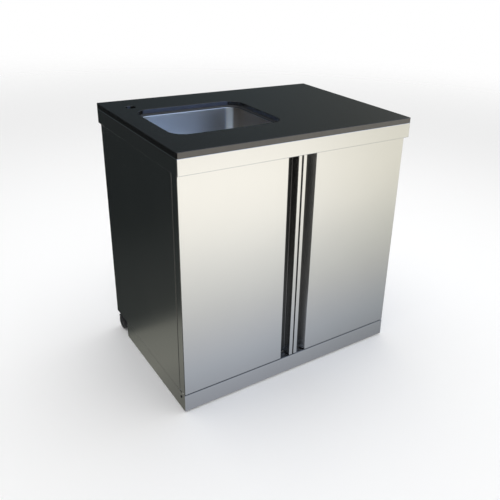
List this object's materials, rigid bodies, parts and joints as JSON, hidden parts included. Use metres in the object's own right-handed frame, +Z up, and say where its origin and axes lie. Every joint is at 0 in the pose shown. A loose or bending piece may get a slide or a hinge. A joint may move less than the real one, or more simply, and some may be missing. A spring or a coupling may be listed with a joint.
{
  "type": "freestanding kitchen sink unit",
  "caption": "Freestanding stainless sink cabinet on castors: black stone benchtop with an undermount bowl, folded carcass, and hinged doors with full-height finger channels.",
  "frame": {"origin": "on the floor, under the middle of the benchtop's outline", "axes": "+X to the unit's right as seen from the front, +Y to the back, +Z up"},
  "size_m": [0.9, 0.65, 0.92],
  "materials": {
    "stone": "black engineered stone, satin polish with a fine speckle",
    "stainless": "stainless sheet, fine vertical brushing, near mirror at low angles",
    "bowl_steel": "satin stainless, drawn and lightly brushed",
    "zinc": "zinc plated steel",
    "black_screw": "blackened steel",
    "white_plastic": "white moulded plastic",
    "nylon": "natural nylon",
    "rubber": "black rubber",
    "black_plastic": "black moulded nylon",
    "wheel": "black nylon wheels on a steel axle"
  },
  "bodies": {
    "carcass": {"benchtop": "stone", "top_pan": "stainless", "tap_backplate": "zinc", "sink_bowl": "bowl_steel", "sink_clips": "zinc", "sink_clip_nuts": "zinc", "bench_brace_1": "stainless", "bench_brace_2": "stainless", "front_rail": "stainless", "left_side_panel": "stainless", "right_side_panel": "stainless", "back_panel": "stainless", "service_trim": "rubber", "base_pan": "stainless", "panel_rivets": "stainless", "plinth_front": "stainless", "left_plinth": "stainless", "right_plinth": "stainless", "plinth_corner_brackets": "zinc", "plinth_rear_brackets": "zinc", "plinth_screws": "black_screw", "strainer_body": "bowl_steel", "strainer_gasket": "rubber", "strainer_nut": "white_plastic", "spigot_nut": "white_plastic", "trap_inlet_pipe": "white_plastic", "trap_body": "white_plastic", "trap_neck_nut": "white_plastic", "trap_cup": "white_plastic", "trap_outlet_nut": "white_plastic", "outlet_pipe": "white_plastic", "left_pivot_plate": "zinc", "right_pivot_plate": "zinc", "left_top_pivot": "zinc", "right_top_pivot": "zinc", "door_catches": "white_plastic", "door_bumpers": "rubber", "front_left_castor_plate": "zinc", "front_right_castor_plate": "zinc", "rear_left_castor_plate": "zinc", "rear_right_castor_plate": "zinc"},
    "left_door": {"left_door_skin": "stainless", "left_door_liner": "stainless", "left_door_bushes": "nylon", "left_strike": "zinc"},
    "right_door": {"right_door_skin": "stainless", "right_door_liner": "stainless", "right_door_bushes": "nylon", "right_strike": "zinc"},
    "basket": {"strainer_basket": "bowl_steel", "basket_plug": "rubber"},
    "front_left_castor": {"front_left_castor_body": "black_plastic"},
    "front_left_wheels": {"front_left_castor_wheels": "wheel"},
    "front_right_castor": {"front_right_castor_body": "black_plastic"},
    "front_right_wheels": {"front_right_castor_wheels": "wheel"},
    "rear_left_castor": {"rear_left_castor_body": "black_plastic"},
    "rear_left_wheels": {"rear_left_castor_wheels": "wheel"},
    "rear_right_castor": {"rear_right_castor_body": "black_plastic"},
    "rear_right_wheels": {"rear_right_castor_wheels": "wheel"}
  },
  "joints": [
    {"name": "left_door_hinge", "type": "hinge", "parent": "carcass", "child": "left_door", "pos_m": [-0.4335, -0.29, 0.46], "axis": [0, 0, -1], "range_deg": [0, 110]},
    {"name": "right_door_hinge", "type": "hinge", "parent": "carcass", "child": "right_door", "pos_m": [0.4335, -0.29, 0.46], "axis": [0, 0, 1], "range_deg": [0, 110]},
    {"name": "basket_lift", "type": "slide", "parent": "carcass", "child": "basket", "axis": [0, 0, 1], "range_m": [0, 0.08]},
    {"name": "front_left_swivel", "type": "hinge", "parent": "carcass", "child": "front_left_castor", "pos_m": [-0.37, -0.222, 0.058], "axis": [0, 0, 1], "continuous": true},
    {"name": "front_left_roll", "type": "hinge", "parent": "front_left_castor", "child": "front_left_wheels", "pos_m": [-0.37, -0.202, 0.03], "axis": [1, 0, 0], "continuous": true},
    {"name": "front_right_swivel", "type": "hinge", "parent": "carcass", "child": "front_right_castor", "pos_m": [0.37, -0.222, 0.058], "axis": [0, 0, 1], "continuous": true},
    {"name": "front_right_roll", "type": "hinge", "parent": "front_right_castor", "child": "front_right_wheels", "pos_m": [0.37, -0.202, 0.03], "axis": [1, 0, 0], "continuous": true},
    {"name": "rear_left_swivel", "type": "hinge", "parent": "carcass", "child": "rear_left_castor", "pos_m": [-0.415, 0.262, 0.058], "axis": [0, 0, 1], "continuous": true},
    {"name": "rear_left_roll", "type": "hinge", "parent": "rear_left_castor", "child": "rear_left_wheels", "pos_m": [-0.415, 0.282, 0.03], "axis": [1, 0, 0], "continuous": true},
    {"name": "rear_right_swivel", "type": "hinge", "parent": "carcass", "child": "rear_right_castor", "pos_m": [0.415, 0.262, 0.058], "axis": [0, 0, 1], "continuous": true},
    {"name": "rear_right_roll", "type": "hinge", "parent": "rear_right_castor", "child": "rear_right_wheels", "pos_m": [0.415, 0.282, 0.03], "axis": [1, 0, 0], "continuous": true}
  ]
}
